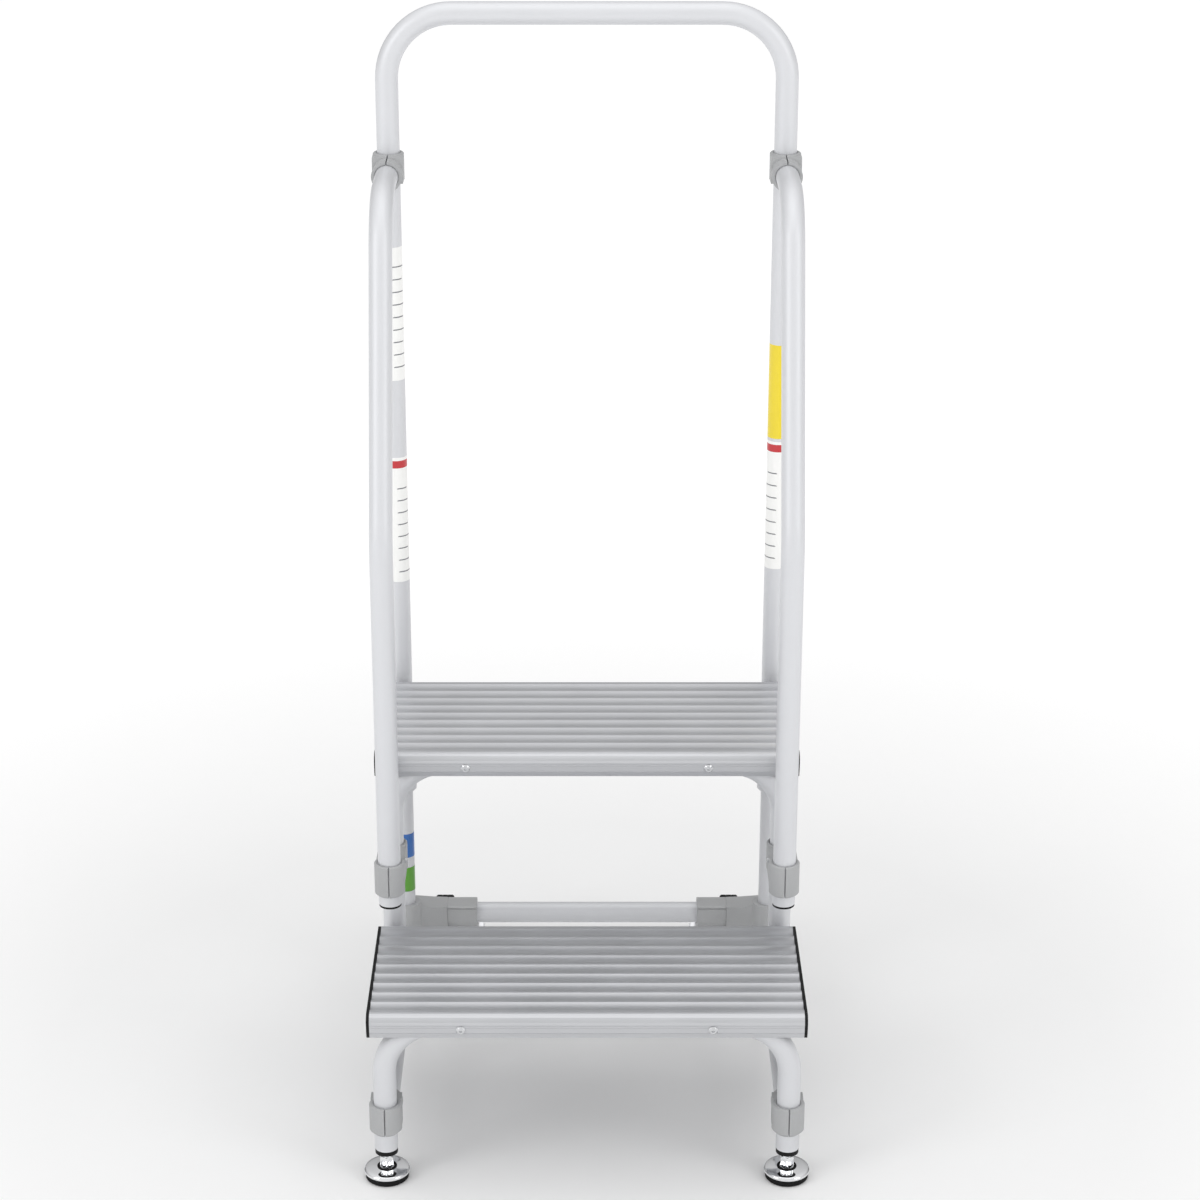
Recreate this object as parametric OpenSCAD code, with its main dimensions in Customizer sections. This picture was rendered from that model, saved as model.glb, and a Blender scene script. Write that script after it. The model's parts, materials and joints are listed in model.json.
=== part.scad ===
// Two-step rolling warehouse ladder: bent tube frame, ribbed treads, handrails and a rear guard hoop.
// +X is to the right, -Y is the front where a person climbs on, +Z is up.
// The origin is on the floor at the middle of the footprint.

/* [Layout] */
// Distance from the middle plane to each line of legs
leg_half_span = 260; // [240:1:300]
// Depth from one line of legs to the next
going = 250; // [248:1:270]
// Height of each step
rise = 250; // [240:1:260]
// Overall height, to the top of the guard hoop
overall_h = 1436; // [1400:1:1500]
// Distance of the wheel axles behind the front legs
wheel_back = 602; // [600:1:620]

/* [Tubing] */
// Outer diameter of the main tube
tube_d = 30; // [29.8:0.1:30.2]
// Wall thickness of the main tube
tube_wall = 2.3; // [2:0.1:2.3]
// Outer diameter of the lower rear legs
slim_d = 25; // [24:0.1:25]
// Wall thickness of the slim tube
slim_wall = 2; // [1.5:0.1:2.5]
// Centreline radius of the guard hoop's bends
hoop_bend_r = 85; // [60:1:110]
// Centreline radius of the step frames' bends
step_bend_r = 70; // [55:1:80]

/* [Handrails] */
// Height of the handrails where they join the hoop
handrail_z = 1218; // [1150:1:1240]
// Distance of the handrails' vertical part ahead of the middle legs
handrail_lead = 70; // [60:1:75]
// Height of the handrails' lower ends
handrail_foot_z = 306; // [300:1:310]
// Length of the handrails' sloping part
handrail_slope_l = 355; // [300:5:360]

/* [Treads] */
// Overall width of a tread with its end caps
tread_w = 560; // [550:1:580]
// Depth of a tread from nose to back edge
tread_depth = 245; // [243:1:246]
// Distance that the nose stands ahead of the leg line
tread_overhang = 26; // [25:0.5:28]
// Height of the nose
nose_h = 33; // [31:0.5:35]
// Distance that the nose rakes back between its top and its lower lip
nose_rake = 5; // [3:0.5:6]
// Number of channels along the top of a tread
channel_count = 9; // [7:1:9]
// Thickness of a tread's end cap
end_cap_t = 4; // [3:0.5:5]

/* [Wheels and feet] */
// Diameter of the rear wheels
wheel_d = 96; // [94:1:98]
// Width of the wheels' tyres
wheel_w = 26; // [22:1:26]
// Distance from the middle plane to the middle of each wheel
wheel_x = 211; // [210:0.5:211]
// Diameter of the foot discs
disc_d = 60; // [56:1:64]
// Diameter of the wheel axles
axle_d = 10; // [8:0.5:10]

/* [Hidden] */

$fn = 48;
left = -1;
right = 1;
fit_gap = 0.1;
over = 1;

// Leg lines, front to back
front_leg_y = (disc_d / 2 - wheel_back - wheel_d / 2) / 2;
mid_leg_y = front_leg_y + going;
rear_leg_y = front_leg_y + 2 * going;
wheel_y = front_leg_y + wheel_back;
handrail_y = mid_leg_y - handrail_lead;
crossbar_back = 50;
crossbar_y = rear_leg_y + crossbar_back;
crossbar_z = 100;
base_tube_z = 90;

// Heights
hoop_bar_z = overall_h - tube_d / 2;
hoop_foot_z = 330;
front_leg_foot_z = 44;
mid_leg_foot_z = base_tube_z + 16;
rear_leg_foot_z = 72;
rear_leg_overlap = 60;
step_bar_drop = 24;

// Handrail run; its slope goes forward by lean_run and down by lean_drop for each unit of its length
lean_run = 0.352;
lean_drop = 0.936;
handrail_top_bend_r = 85;
handrail_low_bend_r = 120;
handrail_back_y = rear_leg_y - tube_d / 2 - over;
slope_end_y = handrail_y + handrail_low_bend_r * (1 - lean_drop);
slope_top_y = slope_end_y + handrail_slope_l * lean_run;
top_bend_y = slope_top_y + handrail_top_bend_r * lean_drop;
top_bend_z = handrail_z - handrail_top_bend_r;
slope_top_z = top_bend_z + handrail_top_bend_r * lean_run;
low_bend_z = slope_top_z - handrail_slope_l * lean_drop - handrail_low_bend_r * lean_run;

// Clamps that hold one tube to another
clamp_bore_d = tube_d + 2 * fit_gap;
slim_bore_d = slim_d + 2 * fit_gap;
clamp_d = 41;
clamp_arm_d = 40;
clamp_top_chamfer = 1.5;
mouth_step = 1.1;
slit_w = 1.6;
hoop_clamp_h = 40;
hoop_clamp_z = handrail_z - hoop_clamp_h / 2 + 2;
hoop_clamp_reach = 50;
hoop_block_front = 27.5;
hoop_clamp_low_chamfer = 4;
rail_clamp_d = 40;
rail_clamp_back_d = 39;
rail_clamp_h = 45;
rail_clamp_back_h = 40;
rail_clamp_z = 321;
rail_clamp_low_chamfer = 2;
foot_clamp_d = 42;
foot_clamp_h = 42;
foot_clamp_z = 68;
foot_clamp_low_chamfer = 5;
foot_clamp_reach = 40;
foot_block_front = 12;
foot_block_back = 28;
base_tube_front = tube_d / 2 + 2;
mid_clamp_z = base_tube_z - clamp_arm_d / 2;
mid_clamp_h = 60;
mid_clamp_half_l = 34;
collar_h = 23;
collar_d = 36;
collar_floor = 8;
collar_round = 3;

// Clamp bolts, with their heads on one flat face and their nuts on the other
bolt_d = 4;
bolt_head_d = 7;
bolt_head_h = 2.4;
bolt_socket_af = 3;
bolt_nut_af = 7;
bolt_nut_h = 3.2;
nut_pocket_d = 8.3;
nut_pocket_deep = 3.4;
bolt_face = clamp_arm_d / 2;
rail_block_half_w = 18.5;
rail_bolt_z = rail_clamp_z + 30;
foot_bolt_back = 19.5;
foot_bolt_z = 72.5;

// Treads, with the outline's zero at the leg line and the walking surface
channel_pitch = 25;
channel_w = 21;
channel_deep = 2.4;
channel_r = (channel_w * channel_w / 4 + channel_deep * channel_deep) / (2 * channel_deep);
tread_front = -tread_overhang;
tread_back = tread_depth - tread_overhang;
tread_plate_t = 4.6;
nose_edge = 12;
nose_smooth = 15;
nose_line_drops = [14, 17];
channel_start = tread_front + nose_smooth;
nose_wall = 2.6;
lip_h = 8;
nose_face_back = 2;
nose_face_rake = nose_face_back / (nose_h - nose_edge - lip_h);
function nose_face_y(drop) = tread_front + (drop - nose_edge) * nose_face_rake;
back_flange_h = 40;
tread_rail_depth = going - tube_d / 2 - tread_back - fit_gap;
tread_rail_h = 30;
tread_rail_drop = 25;
tread_rail_wall = 2;
tread_rail_half_l = leg_half_span + 12;
tread_screw_x = 160;
tread_screw_drop = 20;
tread_screw_head_d = 12.5;
tread_screw_head_h = 2.6;
tread_screw_d = 5.5;
tread_screw_l = 14;
tread_socket_af = 4;
flange_bolt_drop = 33;

// Rear brackets and the crossbar's clamps; depths are measured from the rear leg line
seam_x = 203.5;
bar_clamp_in_x = 161;
bar_clamp_r = 21;
bar_clamp_front = 29;
bar_clamp_lip = 33;
bar_clamp_back = 66.5;
bar_split_z = crossbar_z + 13;
bar_lip_z = 116;
bar_cap_top_z = 119;
bar_cap_top_front = 31;
bar_cap_top_back = 55;
cap_gap = 0.3;
cap_lip_gap = 0.9;
ear_in_x = 173;
ear_out_x = 189.5;
ear_back = 77.5;
ear_z = 103.8;
ear_t = 4.2;
ear_web_t = 2.7;
ear_web_top_z = 114.5;
lug_front = 62;
lug_low_z = 92;
cap_screw_back = 73.5;
cap_screw_d = 4;
cap_screw_head_d = 7.6;
cap_screw_head_h = 2.2;
cap_screw_socket_d = 3.4;
cap_screw_socket_deep = 1.2;
cap_screw_l = 15;
crossbar_half_l = 191;
bracket_low_z = 69;
bracket_top_z = 143.5;
bracket_socket_d = 40;
bracket_socket_l = 50;
arm_out_x = leg_half_span + 14;
arm_front = -15;
arm_back = 66.5;

// Outlines of the bracket's arm seen from the side, from the front and from above
arm_side = [[arm_front, bracket_low_z], [50, bracket_low_z], [arm_back, 95], [arm_back, 116],
            [19, bracket_top_z], [arm_front, bracket_top_z]];
arm_face = [[seam_x, 80], [leg_half_span - 20, bracket_low_z], [arm_out_x, bracket_low_z],
            [arm_out_x, bracket_top_z], [leg_half_span - 12, bracket_top_z],
            [leg_half_span - 35, 126], [seam_x, bar_cap_top_z]];
arm_plan = [[seam_x, bar_clamp_front - 1], [leg_half_span, arm_front], [arm_out_x, -10], [arm_out_x, 14],
            [leg_half_span - 6, 46], [leg_half_span - 26, arm_back], [seam_x, arm_back]];
cheek_t = 6;
cheek_gap = 1.8;
cheek_r = 14;
outer_cheek_line = [[30, 72], [62, 116]];
inner_cheek_line = [[38, 84], [64, 104]];
hub_w = 26;
axle_z = wheel_d / 2;
inner_cheek_x = wheel_x - hub_w / 2 - cheek_gap;
outer_cheek_x = wheel_x + hub_w / 2 + cheek_gap;
axle_head_af = 16;
axle_head_h = 6;
axle_nut_af = 16;
axle_nut_h = 7;
axle_end = 2;

// Wheels
tyre_t = 12;
tyre_round = 3;
hub_boss_d = 30;
hub_web_t = 6;
hub_rim_t = 6;
bush_d = 15;
running_gap = 0.05;

// Levelling feet
stem_d = 12;
stem_neck_d = 6;
stem_top_z = 79;
stem_hex_af = 17;
stem_hex_z = 18.5;
stem_hex_h = 13.5;
lock_nut_h = 4;
lock_nut_z = 32.5;
plug_flange_h = 6.5;
plug_inset = 0.3;
plug_h = 40;
ball_d = 13;
ball_z = 10.5;
ball_gap = 0.1;
disc_mouth_d = 9;
disc_low_z = 8;
disc_rim_z = 10;
disc_edge_z = 13.5;
disc_top_z = 15.5;
disc_neck_z = 16.5;
disc_neck_d = 20;
disc_edge = 2;
disc_dome_in = 7;
disc_spigot_z = disc_low_z - 4.8;
disc_spigot_r = 12;
pad_d = 56;
pad_edge = 1.5;

// Tube sections and runs

module ring(d, wall) {
  difference() {
    circle(d = d);
    circle(d = d - 2 * wall);
  }
}

// A straight tube that starts at the origin and leans from +Z towards +Y
module tube_run(d, wall, length, lean = 0) {
  rotate([-lean, 0, 0]) linear_extrude(height = length) ring(d, wall);
}

// The part of a bend about the origin in the YZ plane that lies inside a wedge outline
module tube_bend_yz(d, wall, bend_r, wedge) {
  intersection() {
    rotate([90, 0, 90]) rotate_extrude() translate([bend_r, 0]) ring(d, wall);
    translate([-d, 0, 0]) rotate([90, 0, 90]) linear_extrude(height = 2 * d) polygon(wedge);
  }
}

// Two legs joined by a level bar with a bend at each end
module hoop_frame(bar_z, foot_z, bend_r) {
  straight_x = leg_half_span - bend_r;
  for (side = [0, 1]) {
    mirror([side, 0, 0]) {
      translate([leg_half_span, 0, foot_z]) tube_run(tube_d, tube_wall, bar_z - bend_r - foot_z);
      translate([straight_x, 0, bar_z - bend_r]) rotate([90, 0, 0])
        rotate_extrude(angle = 90) translate([bend_r, 0]) ring(tube_d, tube_wall);
    }
  }
  translate([-straight_x, 0, bar_z]) rotate([0, 90, 0]) linear_extrude(height = 2 * straight_x)
    ring(tube_d, tube_wall);
}

module on_side(side) {
  mirror([side < 0 ? 1 : 0, 0, 0]) children();
}

// A round bar along +X or +Y
module bar_x(d, from, to) {
  translate([from, 0, 0]) rotate([0, 90, 0]) cylinder(d = d, h = to - from);
}

module bar_y(d, from, to) {
  translate([0, from, 0]) rotate([-90, 0, 0]) cylinder(d = d, h = to - from);
}

// Tubes

module guard_hoop() {
  color("silver") translate([0, rear_leg_y, 0]) hoop_frame(hoop_bar_z, hoop_foot_z, hoop_bend_r);
}

module lower_step_frame() {
  color("silver") translate([0, front_leg_y, 0])
    hoop_frame(rise - step_bar_drop, front_leg_foot_z, step_bend_r);
}

module upper_step_frame() {
  color("silver") translate([0, mid_leg_y, 0])
    hoop_frame(2 * rise - step_bar_drop, mid_leg_foot_z, step_bend_r);
}

module rear_leg(side) {
  color("silver") on_side(side) translate([leg_half_span, rear_leg_y, rear_leg_foot_z])
    tube_run(slim_d, slim_wall, hoop_foot_z + rear_leg_overlap - rear_leg_foot_z);
}

module base_tube(side) {
  from_y = front_leg_y + base_tube_front;
  color("silver") on_side(side) translate([leg_half_span, from_y, base_tube_z])
    tube_run(tube_d, tube_wall, rear_leg_y - slim_d / 2 - over - from_y, 90);
}

module rear_crossbar() {
  color("silver") translate([-crossbar_half_l, crossbar_y, crossbar_z]) rotate([0, 90, 0])
    linear_extrude(height = 2 * crossbar_half_l) ring(tube_d, tube_wall);
}

// A handrail runs forward from the hoop, bends down, slopes forward and ends upright
module handrail(side) {
  reach = 200;
  lean_edge = [-reach * lean_drop, reach * lean_run];
  color("silver") on_side(side) translate([leg_half_span, 0, 0]) {
    translate([0, handrail_back_y, handrail_z])
      tube_run(tube_d, tube_wall, handrail_back_y - top_bend_y, -90);
    translate([0, top_bend_y, top_bend_z]) tube_bend_yz(
      tube_d, tube_wall, handrail_top_bend_r, [[0, 0], [0, reach], [lean_edge[0], reach], lean_edge]
    );
    translate([0, slope_top_y, slope_top_z])
      tube_run(tube_d, tube_wall, handrail_slope_l, 180 + acos(lean_drop));
    translate([0, handrail_y + handrail_low_bend_r, low_bend_z]) tube_bend_yz(
      tube_d, tube_wall, handrail_low_bend_r, [[0, 0], lean_edge, [-reach, lean_edge[1]], [-reach, 0]]
    );
    translate([0, handrail_y, handrail_foot_z]) tube_run(tube_d, tube_wall, low_bend_z - handrail_foot_z);
  }
}

// A plug in a tube's lower end, with a flange below the tube
module end_plug(flange_h, length, bore_d) {
  difference() {
    union() {
      translate([0, 0, -flange_h]) cylinder(d = tube_d - 2 * plug_inset, h = flange_h);
      cylinder(d = tube_d - 2 * tube_wall - 2 * fit_gap, h = length);
    }
    translate([0, 0, -flange_h - over]) cylinder(d = bore_d, h = flange_h + length + 2 * over);
  }
}

module handrail_end_plugs() {
  flange_h = 3;
  plug_l = 18;
  vent_d = 5;
  color("black") for (side = [left, right]) {
    translate([side * leg_half_span, handrail_y, handrail_foot_z]) end_plug(flange_h, plug_l, vent_d);
  }
}

// A collar that steps each hoop leg down to the slimmer lower leg
module leg_collar(side) {
  r = collar_d / 2;
  foot_z = hoop_foot_z - collar_floor;
  color("silver") on_side(side) translate([leg_half_span, rear_leg_y, foot_z]) difference() {
    rotate_extrude() polygon([
      [0, 0], [r - collar_round, 0], [r, collar_round], [r, collar_h - collar_round],
      [r - collar_round / 2, collar_h], [0, collar_h]
    ]);
    translate([0, 0, collar_floor]) cylinder(d = clamp_bore_d, h = collar_h);
    translate([0, 0, -over]) cylinder(d = slim_bore_d, h = collar_h);
  }
}

// Clamps

module clamp_barrel(d, h, low_chamfer) {
  r = d / 2;
  rotate_extrude() polygon([
    [0, 0], [r - low_chamfer, 0], [r, low_chamfer], [r, h - clamp_top_chamfer],
    [r - clamp_top_chamfer, h], [0, h]
  ]);
}

// The bore for an upright tube, with a stepped mouth at the top
module clamp_bore(h) {
  translate([0, 0, -clamp_d]) cylinder(d = clamp_bore_d, h = h + clamp_d + over);
  translate([0, 0, h - mouth_step]) cylinder(d = clamp_bore_d + 2 * mouth_step, h = mouth_step + over);
}

module bolt_hole_x(y, z) {
  translate([0, y, z]) bar_x(bolt_d + 2 * fit_gap, -clamp_d, clamp_d);
}

// The hoop clamp grips the hoop leg and holds the handrail's back end
module hoop_clamp(side) {
  drop = handrail_z - hoop_clamp_z;
  color("darkgray") on_side(side) translate([leg_half_span, rear_leg_y, hoop_clamp_z]) difference() {
    union() {
      clamp_barrel(clamp_d, hoop_clamp_h, hoop_clamp_low_chamfer);
      translate([0, 0, drop]) bar_y(clamp_arm_d, -hoop_clamp_reach, 0);
      translate([-clamp_arm_d / 2, -hoop_block_front, hoop_clamp_low_chamfer])
        cube([clamp_arm_d, hoop_block_front, hoop_clamp_h - hoop_clamp_low_chamfer - clamp_top_chamfer]);
    }
    clamp_bore(hoop_clamp_h);
    translate([0, 0, drop]) {
      bar_y(clamp_bore_d, -hoop_clamp_reach - over, -tube_d / 2);
      bar_y(clamp_bore_d + 2 * mouth_step, -hoop_clamp_reach - over, -hoop_clamp_reach + mouth_step);
    }
    translate([-slit_w / 2, -hoop_clamp_reach - over, drop]) cube([slit_w, hoop_clamp_reach, clamp_d]);
  }
}

// The handrail clamp is a double ring round the handrail and the middle leg beside it
module handrail_clamp(side) {
  block_h = rail_clamp_back_h - rail_clamp_low_chamfer - clamp_top_chamfer;
  bolt_z = rail_bolt_z - rail_clamp_z;
  color("darkgray") on_side(side) translate([leg_half_span, mid_leg_y, rail_clamp_z]) difference() {
    union() {
      clamp_barrel(rail_clamp_back_d, rail_clamp_back_h, rail_clamp_low_chamfer);
      translate([0, -handrail_lead, 0]) clamp_barrel(rail_clamp_d, rail_clamp_h, rail_clamp_low_chamfer);
      translate([-rail_block_half_w, -handrail_lead, rail_clamp_low_chamfer])
        cube([2 * rail_block_half_w, handrail_lead, block_h]);
    }
    clamp_bore(rail_clamp_back_h);
    translate([0, -handrail_lead, 0]) clamp_bore(rail_clamp_h);
    translate([-slit_w / 2, -handrail_lead - clamp_d, -over])
      cube([slit_w, clamp_d, rail_clamp_h + 2 * over]);
    bolt_hole_x(-handrail_lead / 2, bolt_z);
    translate([0, -handrail_lead / 2, bolt_z])
      bar_x(nut_pocket_d, rail_block_half_w - nut_pocket_deep, clamp_d);
  }
}

// The foot clamp grips the front leg and holds the base tube's front end
module foot_clamp(side) {
  rise_z = base_tube_z - foot_clamp_z;
  bolt_z = foot_bolt_z - foot_clamp_z;
  color("darkgray") on_side(side) translate([leg_half_span, front_leg_y, foot_clamp_z]) difference() {
    union() {
      clamp_barrel(foot_clamp_d, foot_clamp_h, foot_clamp_low_chamfer);
      translate([0, 0, rise_z]) bar_y(clamp_arm_d, 0, foot_clamp_reach);
      translate([-bolt_face, foot_block_front, 0])
        cube([clamp_arm_d, foot_block_back - foot_block_front, foot_clamp_h - clamp_top_chamfer]);
    }
    clamp_bore(foot_clamp_h);
    translate([0, 0, rise_z]) bar_y(clamp_bore_d, base_tube_front - over / 2, foot_clamp_reach + over);
    translate([-slit_w / 2, -clamp_d, -over]) cube([slit_w, clamp_d, foot_clamp_h + 2 * over]);
    bolt_hole_x(foot_bolt_back, bolt_z);
    translate([0, foot_bolt_back, bolt_z]) bar_x(nut_pocket_d, -clamp_d, -bolt_face + nut_pocket_deep);
  }
}

// The middle clamp slides over the base tube and holds the foot of the middle leg
module mid_clamp(side) {
  axis_up = base_tube_z - mid_clamp_z;
  color("darkgray") on_side(side) translate([leg_half_span, mid_leg_y, mid_clamp_z]) difference() {
    union() {
      translate([0, 0, axis_up]) cylinder(d = clamp_d, h = mid_clamp_h - axis_up);
      translate([0, 0, axis_up]) bar_y(clamp_arm_d, -mid_clamp_half_l, mid_clamp_half_l);
    }
    translate([0, 0, mid_leg_foot_z - mid_clamp_z - over / 2]) cylinder(d = clamp_bore_d, h = mid_clamp_h);
    translate([0, 0, axis_up]) bar_y(clamp_bore_d, -mid_clamp_half_l - over, mid_clamp_half_l + over);
  }
}

// Fasteners

// A cap bolt that points along +X, with the underside of its head at the origin
module cap_bolt_x(length) {
  rotate([0, 90, 0]) {
    difference() {
      translate([0, 0, -bolt_head_h]) cylinder(d = bolt_head_d, h = bolt_head_h);
      translate([0, 0, -bolt_head_h - over]) cylinder(d = bolt_socket_af / cos(30), h = bolt_head_h, $fn = 6);
    }
    cylinder(d = bolt_d, h = length);
  }
}

module nut_x(af, h, bore_d) {
  rotate([0, 90, 0]) difference() {
    cylinder(d = af / cos(30), h = h, $fn = 6);
    translate([0, 0, -over]) cylinder(d = bore_d, h = h + 2 * over);
  }
}

// Places children on the inner face of each handrail clamp, pointing out
module at_rail_clamps() {
  for (side = [left, right]) {
    on_side(side) translate([leg_half_span - rail_block_half_w, mid_leg_y - handrail_lead / 2, rail_bolt_z])
      children();
  }
}

// Places children on the outer face of each foot clamp, pointing in
module at_foot_clamps() {
  for (side = [left, right]) {
    on_side(side) translate([leg_half_span + bolt_face, front_leg_y + foot_bolt_back, foot_bolt_z])
      mirror([1, 0, 0]) children();
  }
}

module clamp_bolts() {
  color("dimgray") {
    at_rail_clamps() cap_bolt_x(2 * rail_block_half_w - fit_gap);
    at_foot_clamps() cap_bolt_x(2 * bolt_face - fit_gap);
  }
}

module clamp_nuts() {
  color("gray") {
    at_rail_clamps() translate([2 * rail_block_half_w - nut_pocket_deep, 0, 0])
      nut_x(bolt_nut_af, bolt_nut_h, bolt_d);
    at_foot_clamps() translate([2 * bolt_face - nut_pocket_deep, 0, 0])
      nut_x(bolt_nut_af, bolt_nut_h, bolt_d);
  }
}

// A button-head screw that points along +Y, with the underside of its head at the origin
module button_screw_y(length) {
  head_r = tread_screw_head_d / 2;
  edge_h = 1;
  dome_in = 1.8;
  rotate([-90, 0, 0]) {
    difference() {
      translate([0, 0, -tread_screw_head_h]) rotate_extrude() polygon([
        [0, 0], [head_r - dome_in, 0], [head_r, tread_screw_head_h - edge_h],
        [head_r, tread_screw_head_h], [0, tread_screw_head_h]
      ]);
      translate([0, 0, -tread_screw_head_h - over])
        cylinder(d = tread_socket_af / cos(30), h = tread_screw_head_h, $fn = 6);
    }
    cylinder(d = tread_screw_d, h = length);
  }
}

// Places children at the two screws in each tread's nose, square to the raked face
module at_tread_screws() {
  for (step = [0, 1]) {
    face_y = front_leg_y + step * going + nose_face_y(tread_screw_drop);
    for (x = [-tread_screw_x, tread_screw_x]) {
      translate([x, face_y, (step + 1) * rise - tread_screw_drop])
        rotate([atan(nose_face_rake), 0, 0]) children();
    }
  }
}

module tread_screws() {
  color("gainsboro") at_tread_screws() button_screw_y(tread_screw_l);
}

// Places children on both sides of each tread's back, pointing forward
module at_rail_bolts(x, behind, drop) {
  for (step = [0, 1]) {
    for (side = [left, right]) {
      translate([side * x, front_leg_y + (step + 1) * going + behind, (step + 1) * rise - drop])
        rotate([0, 0, -90]) children();
    }
  }
}

// One bolt goes through each leg into the tread rail, and one through the rail into each tread's flange
module rail_bolts() {
  grip = 8;
  color("dimgray") {
    at_rail_bolts(leg_half_span, tube_d / 2, tread_rail_drop + tread_rail_h / 2)
      cap_bolt_x(tube_d + grip);
    at_rail_bolts(tread_screw_x, -tube_d / 2 - fit_gap, flange_bolt_drop)
      cap_bolt_x(tread_rail_depth + grip);
  }
}

// Treads

// The outline of a tread's end, from the rounded nose back to the rear flange
module tread_outline() {
  lip_y = nose_face_y(nose_h - lip_h);
  polygon(concat(
    [for (a = [180:-15:90]) [tread_front + nose_edge * (1 + cos(a)), nose_edge * (sin(a) - 1)]],
    [[tread_back, 0], [tread_back, -back_flange_h], [tread_front + nose_rake, -nose_h],
     [lip_y, -(nose_h - lip_h)]]
  ));
}

module tread_profile() {
  line_r = 0.35;
  groove_r = 0.8;
  rib_w = 3;
  rib_h = 13;
  saddle_y = 6.5;
  lip_y = nose_face_y(nose_h - lip_h);
  difference() {
    tread_outline();
    difference() {
      polygon([
        [tread_front + nose_edge, -tread_plate_t], [tread_back - nose_wall, -tread_plate_t],
        [tread_back - nose_wall, -back_flange_h - over],
        [tread_front + nose_rake + nose_wall, -nose_h - over],
        [lip_y + nose_wall, -(nose_h - lip_h)]
      ]);
      for (y = [-saddle_y, saddle_y, channel_start + 3 * channel_pitch, channel_start + 6 * channel_pitch]) {
        translate([y - rib_w / 2, -rib_h]) square([rib_w, rib_h]);
      }
    }
    for (i = [0:channel_count - 1]) {
      translate([channel_start + channel_pitch * (i + 0.5), channel_r - channel_deep]) circle(r = channel_r);
    }
    for (drop = nose_line_drops) {
      translate([nose_face_y(drop), -drop]) circle(r = line_r);
    }
    translate([lip_y, -(nose_h - lip_h)]) circle(r = groove_r);
    translate([0, -step_bar_drop]) circle(d = tube_d + 2 * fit_gap);
  }
}

module tread(step) {
  half_l = tread_w / 2 - end_cap_t;
  color("lightgray") difference() {
    translate([-half_l, front_leg_y + step * going, (step + 1) * rise]) rotate([90, 0, 90])
      linear_extrude(height = 2 * half_l) tread_profile();
    at_tread_screws() bar_y(tread_screw_d + 2 * fit_gap, -over, tread_screw_l);
  }
}

module tread_cap(step, side) {
  color("black") on_side(side)
    translate([tread_w / 2 - end_cap_t, front_leg_y + step * going, (step + 1) * rise])
    rotate([90, 0, 90]) linear_extrude(height = end_cap_t) tread_outline();
}

// A rectangular tube along the front of the legs behind a tread, which carries the tread's back edge
module tread_rail(step) {
  length = 2 * tread_rail_half_l;
  low_z = (step + 1) * rise - tread_rail_drop - tread_rail_h;
  face_y = front_leg_y + step * going + tread_back;
  color("silver") translate([-tread_rail_half_l, face_y, low_z]) difference() {
    cube([length, tread_rail_depth, tread_rail_h]);
    translate([-over, tread_rail_wall, tread_rail_wall])
      cube([length + 2 * over, tread_rail_depth - 2 * tread_rail_wall, tread_rail_h - 2 * tread_rail_wall]);
  }
}

// Rear brackets, crossbar clamps and wheels

// An outline in the YZ plane, measured from the rear leg line and the floor, made solid along +X
module rear_slab(from_x, to_x) {
  translate([from_x, rear_leg_y, 0]) rotate([90, 0, 90]) linear_extrude(height = to_x - from_x) children();
}

module axle_bore() {
  translate([0, wheel_y, axle_z])
    bar_x(axle_d + 2 * fit_gap, bar_clamp_in_x - over, outer_cheek_x + cheek_t + over);
}

// A tapered arm that runs from its upper edge line back and down to a boss round the axle
module cheek_outline(edge_line) {
  boss_y = wheel_y - rear_leg_y;
  edge = cheek_r * 0.6;
  polygon(concat(edge_line, [[boss_y + edge, axle_z + edge], [boss_y - edge, axle_z - edge]]));
  translate([boss_y, axle_z]) circle(r = cheek_r);
}

// The bracket's arm slopes down and back from the rear leg to the crossbar
module bracket_arm() {
  intersection() {
    rear_slab(seam_x, arm_out_x) polygon(arm_side);
    translate([0, rear_leg_y + arm_back + over, 0]) rotate([90, 0, 0])
      linear_extrude(height = arm_back - arm_front + 2 * over) polygon(arm_face);
    translate([0, rear_leg_y, bracket_low_z - over]) linear_extrude(height = bracket_top_z) polygon(arm_plan);
  }
}

module rear_bracket(side) {
  color("darkgray") on_side(side) difference() {
    union() {
      bracket_arm();
      translate([leg_half_span, rear_leg_y, bracket_low_z])
        cylinder(d = bracket_socket_d, h = bracket_top_z - bracket_low_z);
      translate([leg_half_span, rear_leg_y, base_tube_z]) bar_y(bracket_socket_d, -bracket_socket_l, 0);
      rear_slab(outer_cheek_x, outer_cheek_x + cheek_t) cheek_outline(outer_cheek_line);
    }
    translate([leg_half_span, rear_leg_y, rear_leg_foot_z - over / 2])
      cylinder(d = slim_bore_d, h = bracket_top_z);
    translate([leg_half_span, rear_leg_y, base_tube_z])
      bar_y(clamp_bore_d, -bracket_socket_l - over, -slim_d / 2);
    axle_bore();
  }
}

module crossbar_bore() {
  translate([0, crossbar_y, crossbar_z]) bar_x(clamp_bore_d, bar_clamp_in_x - over, crossbar_half_l + over);
}

module cap_screw_bore() {
  translate([(ear_in_x + ear_out_x) / 2, rear_leg_y + cap_screw_back, lug_low_z - over])
    cylinder(d = cap_screw_d + 2 * fit_gap, h = cap_screw_l + 2 * ear_t);
}

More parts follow.
